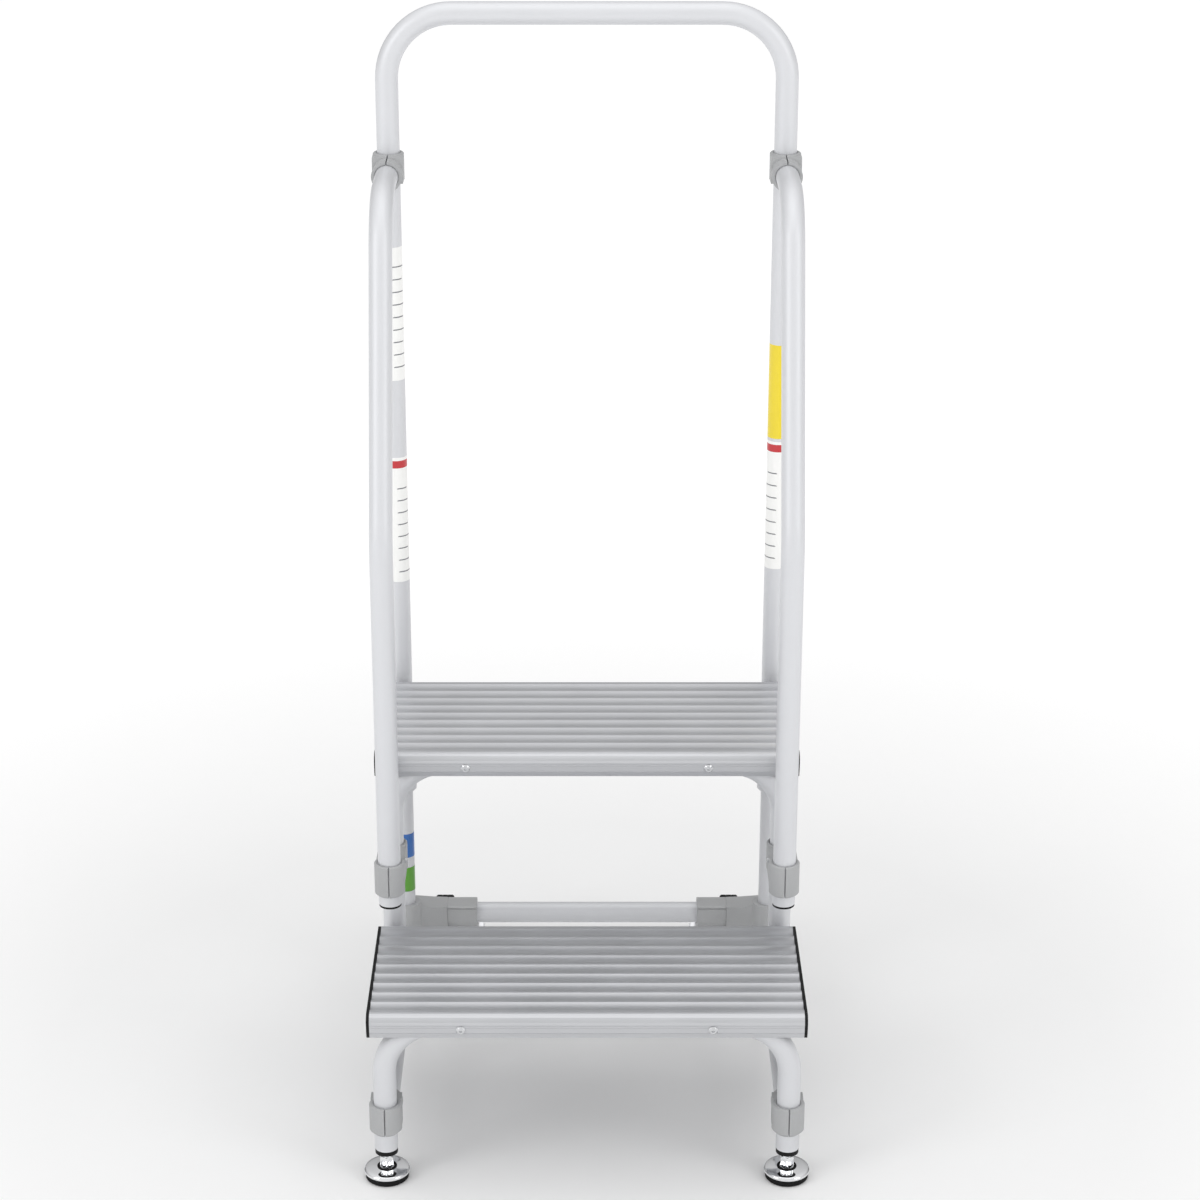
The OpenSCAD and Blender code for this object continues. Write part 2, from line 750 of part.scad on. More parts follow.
// The lower part of the crossbar's clamp, with a lug at the back and the wheel's inner cheek
module crossbar_clamp(side) {
  color("darkgray") on_side(side) difference() {
    union() {
      rear_slab(bar_clamp_in_x, seam_x - fit_gap) difference() {
        union() {
          translate([crossbar_back, crossbar_z]) circle(r = bar_clamp_r);
          translate([bar_clamp_front, crossbar_z])
            square([bar_clamp_back - bar_clamp_front, bar_split_z - crossbar_z]);
          translate([bar_clamp_front, crossbar_z])
            square([bar_clamp_lip - cap_gap - bar_clamp_front, bar_lip_z - cap_lip_gap - crossbar_z]);
        }
        translate([bar_clamp_lip - cap_gap, bar_split_z]) square([2 * crossbar_back, bar_clamp_r]);
        translate([bar_clamp_back, ear_z - cap_gap]) square([bar_clamp_r, bar_clamp_r]);
      }
      rear_slab(ear_in_x, ear_out_x) translate([lug_front, lug_low_z])
        square([ear_back - lug_front, ear_z - cap_gap - lug_low_z]);
      rear_slab(bar_clamp_in_x, inner_cheek_x) cheek_outline(inner_cheek_line);
    }
    crossbar_bore();
    cap_screw_bore();
    axle_bore();
  }
}

// The cap over the crossbar, with a web and an ear down its back for the screw
module crossbar_cap(side) {
  web_front = bar_clamp_back + cap_gap;
  web_back = web_front + ear_web_t;
  color("darkgray") on_side(side) difference() {
    union() {
      rear_slab(bar_clamp_in_x, seam_x - fit_gap) polygon([
        [bar_clamp_front, bar_lip_z], [bar_clamp_lip, bar_lip_z], [bar_clamp_lip, bar_split_z + cap_gap],
        [web_front, bar_split_z + cap_gap], [web_front, ear_z], [web_back, ear_z], [web_back, ear_web_top_z],
        [bar_cap_top_back, bar_cap_top_z], [bar_cap_top_front, bar_cap_top_z],
        [bar_clamp_front, (bar_lip_z + bar_cap_top_z) / 2]
      ]);
      rear_slab(ear_in_x, ear_out_x) translate([web_front, ear_z]) square([ear_back - web_front, ear_t]);
    }
    crossbar_bore();
    cap_screw_bore();
  }
}

module cap_screws() {
  color("gray") for (side = [left, right]) {
    translate([side * (ear_in_x + ear_out_x) / 2, rear_leg_y + cap_screw_back, ear_z + ear_t]) difference() {
      union() {
        cylinder(d = cap_screw_head_d, h = cap_screw_head_h);
        translate([0, 0, -cap_screw_l]) cylinder(d = cap_screw_d, h = cap_screw_l);
      }
      translate([0, 0, cap_screw_head_h - cap_screw_socket_deep])
        cylinder(d = cap_screw_socket_d, h = cap_screw_head_h, $fn = 6);
    }
  }
}

module at_wheel(side) {
  on_side(side) translate([wheel_x, wheel_y, axle_z]) rotate([0, 90, 0]) children();
}

module wheel_tyre(side) {
  outer_r = wheel_d / 2;
  half_w = wheel_w / 2;
  color("black") at_wheel(side) rotate_extrude($fn = 96) polygon(concat(
    [[outer_r - tyre_t, -half_w]],
    [for (a = [-90:15:0]) [outer_r - tyre_round * (1 - cos(a)), tyre_round * sin(a) - half_w + tyre_round]],
    [for (a = [0:15:90]) [outer_r - tyre_round * (1 - cos(a)), tyre_round * sin(a) + half_w - tyre_round]],
    [[outer_r - tyre_t, half_w]]
  ));
}

module wheel_hub(side) {
  hub_r = wheel_d / 2 - tyre_t;
  spoke_count = 6;
  spoke_inset = 2;
  rim_w = wheel_w - 2;
  color("dimgray") at_wheel(side) difference() {
    union() {
      difference() {
        cylinder(r = hub_r, h = rim_w, center = true);
        cylinder(r = hub_r - hub_rim_t, h = wheel_w + 2 * over, center = true);
      }
      cylinder(r = hub_r - hub_rim_t / 2, h = hub_web_t, center = true);
      cylinder(d = hub_boss_d, h = hub_w, center = true);
      for (i = [0:spoke_count - 1]) {
        rotate([0, 0, i * 360 / spoke_count])
          translate([hub_boss_d / 2 - spoke_inset, -hub_web_t / 4, -rim_w / 2 + spoke_inset])
          cube([hub_r - hub_boss_d / 2, hub_web_t / 2, rim_w - 2 * spoke_inset]);
      }
    }
    cylinder(d = bush_d, h = wheel_w + 2 * over, center = true);
  }
}

module wheel_bush(side) {
  color("white") at_wheel(side) difference() {
    cylinder(d = bush_d, h = hub_w + 2, center = true);
    cylinder(d = axle_d + 2 * running_gap, h = hub_w + 4, center = true);
  }
}

// The axle is a hexagon-head bolt whose thread ends inside the nut on the inner cheek
module wheel_axle(side) {
  from_x = bar_clamp_in_x - axle_nut_h - axle_end;
  to_x = outer_cheek_x + cheek_t;
  color("silver") on_side(side) translate([0, wheel_y, axle_z]) {
    bar_x(axle_d, from_x, to_x);
    translate([to_x, 0, 0]) rotate([0, 90, 0]) cylinder(d = axle_head_af / cos(30), h = axle_head_h, $fn = 6);
  }
}

module axle_nuts() {
  color("silver") for (side = [left, right]) {
    on_side(side) translate([bar_clamp_in_x - axle_nut_h, wheel_y, axle_z])
      nut_x(axle_nut_af, axle_nut_h, axle_d);
  }
}

// Levelling feet

module at_foot(side) {
  translate([side * leg_half_span, front_leg_y, 0]) children();
}

module foot_plug(side) {
  color("black") at_foot(side) translate([0, 0, front_leg_foot_z])
    end_plug(plug_flange_h, plug_h, stem_d + 2 * running_gap);
}

// A threaded stem with a hexagon for a spanner and a ball at its lower end
module foot_stem(side) {
  color("silver") at_foot(side) {
    translate([0, 0, ball_z]) sphere(d = ball_d);
    translate([0, 0, ball_z]) cylinder(d = stem_neck_d, h = stem_hex_z - ball_z + over);
    translate([0, 0, stem_hex_z]) cylinder(d = stem_hex_af / cos(30), h = stem_hex_h, $fn = 6);
    translate([0, 0, stem_hex_z]) cylinder(d = stem_d, h = stem_top_z - stem_hex_z);
  }
}

module foot_lock_nut(side) {
  color("silver") at_foot(side) translate([0, 0, lock_nut_z]) difference() {
    cylinder(d = stem_hex_af / cos(30), h = lock_nut_h, $fn = 6);
    translate([0, 0, -over]) cylinder(d = stem_d, h = lock_nut_h + 2 * over);
  }
}

// A domed disc that tilts on the stem's ball
module foot_disc(side) {
  disc_r = disc_d / 2;
  neck_r = disc_neck_d / 2;
  color("gainsboro") at_foot(side) difference() {
    rotate_extrude($fn = 72) polygon([
      [0, disc_spigot_z], [disc_spigot_r, disc_spigot_z], [disc_spigot_r, disc_low_z],
      [disc_r - disc_edge, disc_low_z], [disc_r, disc_rim_z], [disc_r, disc_edge_z - disc_edge / 2],
      [disc_r - disc_edge, disc_edge_z + disc_edge / 2], [disc_r - disc_dome_in, disc_top_z],
      [neck_r, disc_top_z], [neck_r - 1, disc_neck_z], [0, disc_neck_z]
    ]);
    translate([0, 0, ball_z]) sphere(d = ball_d + 2 * ball_gap);
    translate([0, 0, ball_z]) cylinder(d = disc_mouth_d, h = ball_d);
  }
}

// A rubber pad under the disc, with a round pocket for the disc's spigot
module foot_pad(side) {
  pad_r = pad_d / 2;
  color("black") at_foot(side) difference() {
    rotate_extrude($fn = 72) polygon([
      [0, 0], [pad_r - pad_edge, 0], [pad_r, pad_edge], [pad_r, disc_low_z], [0, disc_low_z]
    ]);
    translate([0, 0, disc_spigot_z]) cylinder(r = disc_spigot_r, h = disc_low_z);
  }
}

guard_hoop();
rear_leg(left);  // rear_leg_left
rear_leg(right);  // rear_leg_right
leg_collar(left);  // leg_collar_left
leg_collar(right);  // leg_collar_right
handrail(left);  // handrail_left
handrail(right);  // handrail_right
handrail_end_plugs();
hoop_clamp(left);  // hoop_clamp_left
hoop_clamp(right);  // hoop_clamp_right
handrail_clamp(left);  // handrail_clamp_left
handrail_clamp(right);  // handrail_clamp_right
foot_clamp(left);  // foot_clamp_left
foot_clamp(right);  // foot_clamp_right
lower_step_frame();
upper_step_frame();
base_tube(left);  // base_tube_left
base_tube(right);  // base_tube_right
mid_clamp(left);  // mid_clamp_left
mid_clamp(right);  // mid_clamp_right
tread_rail(0);  // lower_tread_rail
tread_rail(1);  // upper_tread_rail
tread(0);  // lower_tread
tread(1);  // upper_tread
tread_cap(0, left);  // lower_tread_cap_left
tread_cap(0, right);  // lower_tread_cap_right
tread_cap(1, left);  // upper_tread_cap_left
tread_cap(1, right);  // upper_tread_cap_right
tread_screws();
clamp_bolts();
clamp_nuts();
rail_bolts();
rear_bracket(left);  // rear_bracket_left
rear_bracket(right);  // rear_bracket_right
crossbar_clamp(left);  // crossbar_clamp_left
crossbar_clamp(right);  // crossbar_clamp_right
crossbar_cap(left);  // crossbar_cap_left
crossbar_cap(right);  // crossbar_cap_right
rear_crossbar();
cap_screws();
wheel_tyre(left);  // wheel_tyre_left
wheel_tyre(right);  // wheel_tyre_right
wheel_hub(left);  // wheel_hub_left
wheel_hub(right);  // wheel_hub_right
wheel_bush(left);  // wheel_bush_left
wheel_bush(right);  // wheel_bush_right
wheel_axle(left);  // wheel_axle_left
wheel_axle(right);  // wheel_axle_right
axle_nuts();
foot_plug(left);  // foot_plug_left
foot_plug(right);  // foot_plug_right
foot_stem(left);  // foot_stem_left
foot_stem(right);  // foot_stem_right
foot_lock_nut(left);  // foot_lock_nut_left
foot_lock_nut(right);  // foot_lock_nut_right
foot_disc(left);  // foot_disc_left
foot_disc(right);  // foot_disc_right
foot_pad(left);  // foot_pad_left
foot_pad(right);  // foot_pad_right
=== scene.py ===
"""The looks of a two-step rolling warehouse ladder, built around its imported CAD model.

Metres, +Z up, -Y front.
"""
import json
import math

import bmesh
import bpy
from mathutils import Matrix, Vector


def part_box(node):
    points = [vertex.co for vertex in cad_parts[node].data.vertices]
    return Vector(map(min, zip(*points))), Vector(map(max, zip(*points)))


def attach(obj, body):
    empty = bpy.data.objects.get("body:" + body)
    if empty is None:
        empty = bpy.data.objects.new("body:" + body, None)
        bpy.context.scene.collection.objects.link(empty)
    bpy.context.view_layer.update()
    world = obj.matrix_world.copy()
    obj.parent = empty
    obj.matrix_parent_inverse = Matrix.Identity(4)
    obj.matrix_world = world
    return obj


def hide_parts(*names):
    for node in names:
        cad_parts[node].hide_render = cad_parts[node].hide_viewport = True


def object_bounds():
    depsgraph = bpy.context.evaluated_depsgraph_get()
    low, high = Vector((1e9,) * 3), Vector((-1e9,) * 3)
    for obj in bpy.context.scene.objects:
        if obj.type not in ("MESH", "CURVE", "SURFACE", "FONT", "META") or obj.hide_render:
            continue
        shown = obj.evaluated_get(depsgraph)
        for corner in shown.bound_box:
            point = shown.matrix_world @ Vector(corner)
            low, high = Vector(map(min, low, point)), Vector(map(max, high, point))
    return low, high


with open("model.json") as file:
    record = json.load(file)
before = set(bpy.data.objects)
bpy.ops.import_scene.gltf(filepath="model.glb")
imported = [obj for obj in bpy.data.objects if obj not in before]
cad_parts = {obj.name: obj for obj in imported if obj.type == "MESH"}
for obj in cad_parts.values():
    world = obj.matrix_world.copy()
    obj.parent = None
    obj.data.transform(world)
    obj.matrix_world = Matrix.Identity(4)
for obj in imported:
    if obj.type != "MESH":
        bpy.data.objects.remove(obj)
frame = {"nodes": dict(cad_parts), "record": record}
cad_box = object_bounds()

MM = 0.001
SIDES = ("left", "right")

# ---------------------------------------------------------------- places taken from the frame


def middle(node):
    low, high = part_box(node)
    return (Vector(low) + Vector(high)) / 2


LEG_X = middle("foot_plug_right").x
FRONT_LEG_Y = middle("foot_plug_right").y
REAR_LEG_Y = middle("guard_hoop").y
FLOOR_Z = cad_box[0][2]
TUBE_R = (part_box("guard_hoop")[1][1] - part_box("guard_hoop")[0][1]) / 2
SLIM_R = (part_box("rear_leg_left")[1][1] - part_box("rear_leg_left")[0][1]) / 2

# ---------------------------------------------------------------- materials

# The range that the sum of the two noises covers
NOISE_LOW = 0.6
NOISE_HIGH = 1.4
SMOOTHEST = 0.02
COAT_ROUGH = 0.25
BUMP_STRENGTH = 0.5


def linear(*srgb):
    """An sRGB colour from 0 to 255 as linear values."""
    straight_to = 10
    return tuple(c / 255 / 12.92 if c <= straight_to else ((c / 255 + 0.055) / 1.055) ** 2.4 for c in srgb)


def surface(name, colour, metallic, rough, grain, depth, stretch=(1, 1, 1), tone=0.05, spread=0.06,
            patch=9.0, specular=0.5, coat=0.0):
    """A procedural finish: fine grain in bump, tone and roughness, over slow patches of wear."""
    mat = bpy.data.materials.new(name)
    mat.use_nodes = True
    tree = mat.node_tree
    link = tree.links.new
    shader = tree.nodes["Principled BSDF"]
    shader.inputs["Metallic"].default_value = metallic
    shader.inputs["Specular IOR Level"].default_value = specular
    shader.inputs["Coat Weight"].default_value = coat
    shader.inputs["Coat Roughness"].default_value = COAT_ROUGH
    coords = tree.nodes.new("ShaderNodeTexCoord")
    mapping = tree.nodes.new("ShaderNodeMapping")
    mapping.inputs["Scale"].default_value = stretch
    link(coords.outputs["Object"], mapping.inputs["Vector"])
    fine = tree.nodes.new("ShaderNodeTexNoise")
    fine.inputs["Scale"].default_value = grain
    fine.inputs["Detail"].default_value = 4
    link(mapping.outputs["Vector"], fine.inputs["Vector"])
    slow = tree.nodes.new("ShaderNodeTexNoise")
    slow.inputs["Scale"].default_value = patch
    slow.inputs["Detail"].default_value = 3
    link(coords.outputs["Object"], slow.inputs["Vector"])
    blend = tree.nodes.new("ShaderNodeMath")
    blend.operation = "ADD"
    link(fine.outputs["Fac"], blend.inputs[0])
    link(slow.outputs["Fac"], blend.inputs[1])
    ramp = tree.nodes.new("ShaderNodeMapRange")
    ramp.inputs["From Min"].default_value = NOISE_LOW
    ramp.inputs["From Max"].default_value = NOISE_HIGH
    link(blend.outputs[0], ramp.inputs["Value"])
    mix = tree.nodes.new("ShaderNodeMix")
    mix.data_type = "RGBA"
    mix.inputs["A"].default_value = (*(c * (1 - tone) for c in colour), 1)
    mix.inputs["B"].default_value = (*(min(1, c * (1 + tone)) for c in colour), 1)
    link(ramp.outputs["Result"], mix.inputs["Factor"])
    link(mix.outputs["Result"], shader.inputs["Base Color"])
    gloss = tree.nodes.new("ShaderNodeMapRange")
    gloss.inputs["From Min"].default_value = NOISE_LOW
    gloss.inputs["From Max"].default_value = NOISE_HIGH
    gloss.inputs["To Min"].default_value = max(SMOOTHEST, rough - spread)
    gloss.inputs["To Max"].default_value = min(1, rough + spread)
    link(blend.outputs[0], gloss.inputs["Value"])
    link(gloss.outputs["Result"], shader.inputs["Roughness"])
    bump = tree.nodes.new("ShaderNodeBump")
    bump.inputs["Strength"].default_value = BUMP_STRENGTH
    bump.inputs["Distance"].default_value = depth
    link(fine.outputs["Fac"], bump.inputs["Height"])
    link(bump.outputs["Normal"], shader.inputs["Normal"])
    return mat


MATERIALS = {
    "tube_aluminium": surface("tube_aluminium", linear(216, 217, 220), 0.35, 0.48, 700, 0.00003, tone=0.02),
    "tread_aluminium": surface("tread_aluminium", linear(198, 199, 202), 0.7, 0.38, 900, 0.00006,
                               stretch=(0.02, 1, 1), tone=0.05),
    "rail_aluminium": surface("rail_aluminium", linear(208, 209, 211), 0.55, 0.45, 800, 0.00005,
                              stretch=(0.03, 1, 1), tone=0.05),
    "clamp_grey": surface("clamp_grey", linear(172, 173, 174), 0.0, 0.56, 1300, 0.00012, tone=0.07),
    "bracket_grey": surface("bracket_grey", linear(176, 177, 178), 0.0, 0.58, 1300, 0.00012, tone=0.07),
    "black_plastic": surface("black_plastic", linear(12, 12, 13), 0.0, 0.55, 900, 0.00006, tone=0.18,
                             specular=0.25),
    "wheel_rubber": surface("wheel_rubber", linear(12, 12, 13), 0.0, 0.75, 700, 0.0001, tone=0.2,
                            specular=0.2),
    "hub_plastic": surface("hub_plastic", linear(58, 59, 61), 0.0, 0.50, 1000, 0.00008, tone=0.12),
    "bush_plastic": surface("bush_plastic", linear(215, 210, 198), 0.0, 0.35, 900, 0.00004),
    "foot_chrome": surface("foot_chrome", linear(238, 239, 241), 1.0, 0.07, 1200, 0.000004, tone=0.01,
                           spread=0.03),
    "pad_rubber": surface("pad_rubber", linear(14, 14, 15), 0.0, 0.75, 800, 0.0001, tone=0.2,
                          specular=0.25),
    "zinc_steel": surface("zinc_steel", linear(214, 215, 217), 1.0, 0.27, 1500, 0.00002, tone=0.05),
}
LABEL_WHITE = surface("label_white", linear(246, 246, 244), 0.0, 0.34, 500, 0.00001, tone=0.015, coat=0.3)
LABEL_RED = surface("label_red", linear(196, 38, 46), 0.0, 0.36, 500, 0.00001, tone=0.03, coat=0.3)
LABEL_YELLOW = surface("label_yellow", linear(238, 214, 38), 0.0, 0.36, 500, 0.00001, tone=0.03, coat=0.3)
LABEL_GREY = surface("label_grey", linear(120, 122, 126), 0.0, 0.4, 500, 0.00001, tone=0.05, coat=0.3)
LABEL_BLUE = surface("label_blue", linear(52, 108, 182), 0.0, 0.36, 500, 0.00001, tone=0.04, coat=0.3)
LABEL_GREEN = surface("label_green", linear(92, 160, 52), 0.0, 0.36, 500, 0.00001, tone=0.04, coat=0.3)

NODE_SLOT = {part["node"]: part["material_slot"] for part in frame["record"]["subparts"]}
for node, obj in frame["nodes"].items():
    for place in obj.material_slots:
        place.material = MATERIALS[NODE_SLOT[node]]

# ---------------------------------------------------------------- making pieces

BODY_OF = {node: body for body, nodes in frame["record"]["behaviour"]["bodies"].items() for node in nodes}


def piece_from(name, bm, material, body, smooth=math.radians(35)):
    """A finished piece from bmesh geometry, riding on a body."""
    mesh = bpy.data.meshes.new(name)
    bmesh.ops.recalc_face_normals(bm, faces=bm.faces)
    bm.to_mesh(mesh)
    bm.free()
    obj = bpy.data.objects.new(name, mesh)
    bpy.context.collection.objects.link(obj)
    mesh.materials.append(material)
    mesh.shade_smooth()
    mesh.set_sharp_from_angle(angle=smooth)
    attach(obj, body)
    return obj


def soften(node, width):
    """Stands a copy with rounded edges in for a CAD node."""
    weld = 0.01 * MM
    flat = math.radians(0.5)
    corner = math.radians(32)
    bm = bmesh.new()
    bm.from_mesh(frame["nodes"][node].data)
    bmesh.ops.remove_doubles(bm, verts=bm.verts, dist=weld)
    bmesh.ops.dissolve_limit(bm, angle_limit=flat, verts=bm.verts, edges=bm.edges)
    sharp = [e for e in bm.edges if len(e.link_faces) == 2 and e.calc_face_angle(0) > corner]
    bmesh.ops.bevel(bm, geom=sharp, offset=width, segments=2, profile=0.6, affect="EDGES",
                    clamp_overlap=True, loop_slide=True)
    obj = piece_from(node + "_shell", bm, MATERIALS[NODE_SLOT[node]], BODY_OF[node])
    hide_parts(node)


def lathe(profile, centre, axis="Z", steps=96):
    """A closed ring or solid of revolution from (radius, height) points about an axis through centre."""
    bm = bmesh.new()
    rows = []
    for k in range(steps):
        turn = 2 * math.pi * k / steps
        row = []
        for radius, height in profile:
            if axis == "Z":
                place = Vector((radius * math.cos(turn), radius * math.sin(turn), height))
            else:
                place = Vector((height, radius * math.cos(turn), radius * math.sin(turn)))
            row.append(bm.verts.new(Vector(centre) + place))
        rows.append(row)
    for k in range(steps):
        here, there = rows[k], rows[(k + 1) % steps]
        for i in range(len(profile)):
            j = (i + 1) % len(profile)
            bm.faces.new((here[i], here[j], there[j], there[i]))
    bmesh.ops.remove_doubles(bm, verts=bm.verts, dist=0.001 * MM)
    return bm


# ---------------------------------------------------------------- rounded mouldings

EDGE_WIDTH_MM = {
    "hoop_clamp": 1.2,
    "handrail_clamp": 1.2,
    "foot_clamp": 1.2,
    "mid_clamp": 1.2,
    "leg_collar": 0.8,
    "rear_bracket": 1.8,
    "crossbar_clamp": 1.5,
    "crossbar_cap": 0.7,
    "lower_tread_cap": 0.4,
    "upper_tread_cap": 0.4,
    "wheel_hub": 0.7,
}

for side in SIDES:
    for node, width in EDGE_WIDTH_MM.items():
        soften(f"{node}_{side}", width * MM)

# ---------------------------------------------------------------- wheels

tyre_low, tyre_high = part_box("wheel_tyre_left")
TYRE_R = (tyre_high[2] - tyre_low[2]) / 2
TYRE_HALF_W = (tyre_high[0] - tyre_low[0]) / 2
HUB_R = (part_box("wheel_hub_left")[1][2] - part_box("wheel_hub_left")[0][2]) / 2
SHOULDER_R = 3 * MM
SIDE_STEP = 0.9 * MM


def tyre_profile():
    """Quarter-round shoulders, a moulded step on each sidewall and two fine grooves round the tread."""
    groove_x = 4 * MM
    groove_w = 0.5 * MM
    groove_deep = 0.8 * MM
    step_r = HUB_R + 3 * MM
    step_slope = 0.6 * MM
    arc_steps = 8
    half = [(HUB_R, 0), (HUB_R, TYRE_HALF_W - SIDE_STEP), (step_r, TYRE_HALF_W - SIDE_STEP),
            (step_r + step_slope, TYRE_HALF_W)]
    for k in range(arc_steps + 1):
        a = math.radians(90 - 90 * k / arc_steps)
        half.append((TYRE_R - SHOULDER_R * (1 - math.cos(a)), TYRE_HALF_W - SHOULDER_R * (1 - math.sin(a))))
    half += [(TYRE_R, groove_x + groove_w), (TYRE_R - groove_deep, groove_x + groove_w / 2),
             (TYRE_R - groove_deep, groove_x - groove_w / 2), (TYRE_R, groove_x - groove_w)]
    return half + [(r, -x) for r, x in reversed(half) if x > 0]


for side in SIDES:
    tyre = piece_from(f"tyre_{side}", lathe(tyre_profile(), middle(f"wheel_tyre_{side}"), "X", 128),
                      MATERIALS["wheel_rubber"], f"wheel_{side}")
    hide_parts(f"wheel_tyre_{side}")

# ---------------------------------------------------------------- levelling feet

STEM_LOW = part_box("foot_stem_left")[0][2]
STEM_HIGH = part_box("foot_stem_left")[1][2]
HEX_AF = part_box("foot_stem_left")[1][1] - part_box("foot_stem_left")[0][1]
BALL_R = 6.5 * MM
NECK_R = 3 * MM
HEX_LOW = STEM_LOW + 14.5 * MM
HEX_HIGH = HEX_LOW + 13.5 * MM
THREAD_R = 5.98 * MM
THREAD_DEEP = 0.75 * MM
THREAD_PITCH = 1.75 * MM
THREAD_ROWS = 8
HEX_STEPS = 36


def round_place(centre, radius, turn, z):
    return centre.x + radius * math.cos(turn), centre.y + radius * math.sin(turn), z


def skin_rows(bm, rows):
    """Faces between rings of vertices, closed at both ends."""
    for a, b in zip(rows, rows[1:]):
        for k in range(len(a)):
            n = (k + 1) % len(a)
            bm.faces.new((a[k], a[n], b[n], b[k]))
    bm.faces.new(rows[0])
    bm.faces.new(rows[-1])


def threaded_rod(bm, centre, low, high, around=32):
    """A closed rod whose radius follows a single-start thread."""
    rows = []
    count = int((high - low) / (THREAD_PITCH / THREAD_ROWS))
    for i in range(count + 1):
        z = low + (high - low) * i / count
        row = []
        for k in range(around):
            phase = ((z - low) / THREAD_PITCH - k / around) % 1
            radius = THREAD_R - THREAD_DEEP * abs(2 * phase - 1)
            turn = 2 * math.pi * k / around
            row.append(bm.verts.new(round_place(centre, radius, turn, z)))
        rows.append(row)
    skin_rows(bm, rows)


def hexagon(bm, centre, low, high, across, chamfer):
    """A hexagon bar with its corners turned down at both ends."""
    corner = across / 2 / math.cos(math.radians(30))
    end_r = across / 2 * 0.99
    rows = []
    for z, turned in ((low, True), (low + chamfer, False), (high - chamfer, False), (high, True)):
        row = []
        for k in range(HEX_STEPS):
            turn = 2 * math.pi * k / HEX_STEPS
            flat = across / 2 / math.cos((turn + math.pi / 6) % (math.pi / 3) - math.pi / 6)
            radius = min(flat, end_r) if turned else min(flat, corner)
            row.append(bm.verts.new(round_place(centre, radius, turn, z)))
        rows.append(row)
    skin_rows(bm, rows)


def seal_profile(disc_top):
    """The section of the soft ring that sits round the disc's neck."""
    inner_r = 9.6 * MM
    low = disc_top - 1.4 * MM
    shoulder = disc_top + 0.3 * MM
    return [(inner_r, low), (12.6 * MM, low), (12.9 * MM, disc_top - 0.6 * MM),
            (12.2 * MM, shoulder), (10.6 * MM, disc_top + 0.6 * MM), (inner_r, shoulder)]


def foot_stem(side, centre):
    """The stem in one mesh: ball, neck, hexagon and thread."""
    ball_z = STEM_LOW + BALL_R
    neck_top = HEX_LOW + MM
    bm = bmesh.new()
    hexagon(bm, centre, HEX_LOW, HEX_HIGH, HEX_AF, 1.2 * MM)
    threaded_rod(bm, centre, HEX_HIGH - MM, STEM_HIGH)
    neck = lathe([(0, ball_z), (NECK_R, ball_z), (NECK_R, neck_top), (0, neck_top)],
                 (centre.x, centre.y, 0), "Z", 32)
    neck_mesh = bpy.data.meshes.new("neck")
    neck.to_mesh(neck_mesh)
    neck.free()
    bm.from_mesh(neck_mesh)
    bpy.data.meshes.remove(neck_mesh)
    made = bmesh.ops.create_uvsphere(bm, u_segments=32, v_segments=20, radius=BALL_R)
    bmesh.ops.translate(bm, verts=made["verts"], vec=(centre.x, centre.y, ball_z))
    stem = piece_from(f"threaded_stem_{side}", bm, MATERIALS["foot_chrome"], f"foot_stem_{side}")
    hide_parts(f"foot_stem_{side}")


for side in SIDES:
    centre = middle(f"foot_stem_{side}")
    foot_stem(side, centre)

    low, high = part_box(f"foot_lock_nut_{side}")
    nut = bmesh.new()
    hexagon(nut, centre, low[2], high[2], HEX_AF, 0.8 * MM)
    nut_piece = piece_from(f"lock_nut_{side}", nut, MATERIALS["foot_chrome"], f"foot_stem_{side}")
    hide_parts(f"foot_lock_nut_{side}")

    seal = seal_profile(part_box(f"foot_disc_{side}")[1][2])
    piece_from(f"seal_ring_{side}", lathe(seal, (centre.x, centre.y, 0)), MATERIALS["pad_rubber"],
               f"foot_swivel_{side}")

    soften(f"foot_disc_{side}", 0.6 * MM)
    soften(f"foot_pad_{side}", 0.5 * MM)

# ---------------------------------------------------------------- plain labels round the rear legs

LABEL_LIFT = 0.12 * MM
PRINT_LIFT = 0.2 * MM
BAR_H = 1.6 * MM
BAND_H = 10.5 * MM
# Angles run from the ladder's outward side towards its front
WRAP = (62, 205)
BAND_WRAP = (66, 201)
BAR_WRAP = (96, 190)
SLIM_WRAP = (62, 200)


def label(name, material, side_x, radius, low, high, wrap, lift=LABEL_LIFT):
    """A thin patch round a vertical rear leg, from one height to another."""
    start, end = wrap
    sign = 1 if side_x > 0 else -1
    count = max(4, int((end - start) / 5))
    rounding = 1.5 * MM
    under = 0.02 * MM
    bm = bmesh.new()
    inner = []
    outer = []
    for k in range(count + 1):
        turn = math.radians(start + (end - start) * k / count)
        inset = rounding if k in (0, count) else 0
        for ring, r in ((inner, radius + under), (outer, radius + lift)):
            x = side_x + sign * r * math.cos(turn)
            y = REAR_LEG_Y - r * math.sin(turn)
            ring.append((bm.verts.new((x, y, low + inset)), bm.verts.new((x, y, high - inset))))
    for k in range(count):
        for ring in (inner, outer):
            bm.faces.new((ring[k][0], ring[k + 1][0], ring[k + 1][1], ring[k][1]))
        for edge in (0, 1):
            bm.faces.new((inner[k][edge], inner[k + 1][edge], outer[k + 1][edge], outer[k][edge]))
    for k in (0, count):
        bm.faces.new((inner[k][0], inner[k][1], outer[k][1], outer[k][0]))
    piece_from(name, bm, material, "frame")


def text_bars(name, side_x, low, high, rows):
    """Plain grey bars that stand in for a label's print."""
    start, end = BAR_WRAP
    pitch = (high - low) / rows
    for k in range(rows):
        z = low + pitch * (k + 0.3)
        reach = end - (end - start) * (0.12 + 0.3 * ((k * 7) % 5) / 5)
        label(f"{name}_bar_{k}", LABEL_GREY, side_x, TUBE_R, z, z + BAR_H, (start, reach), PRINT_LIFT)


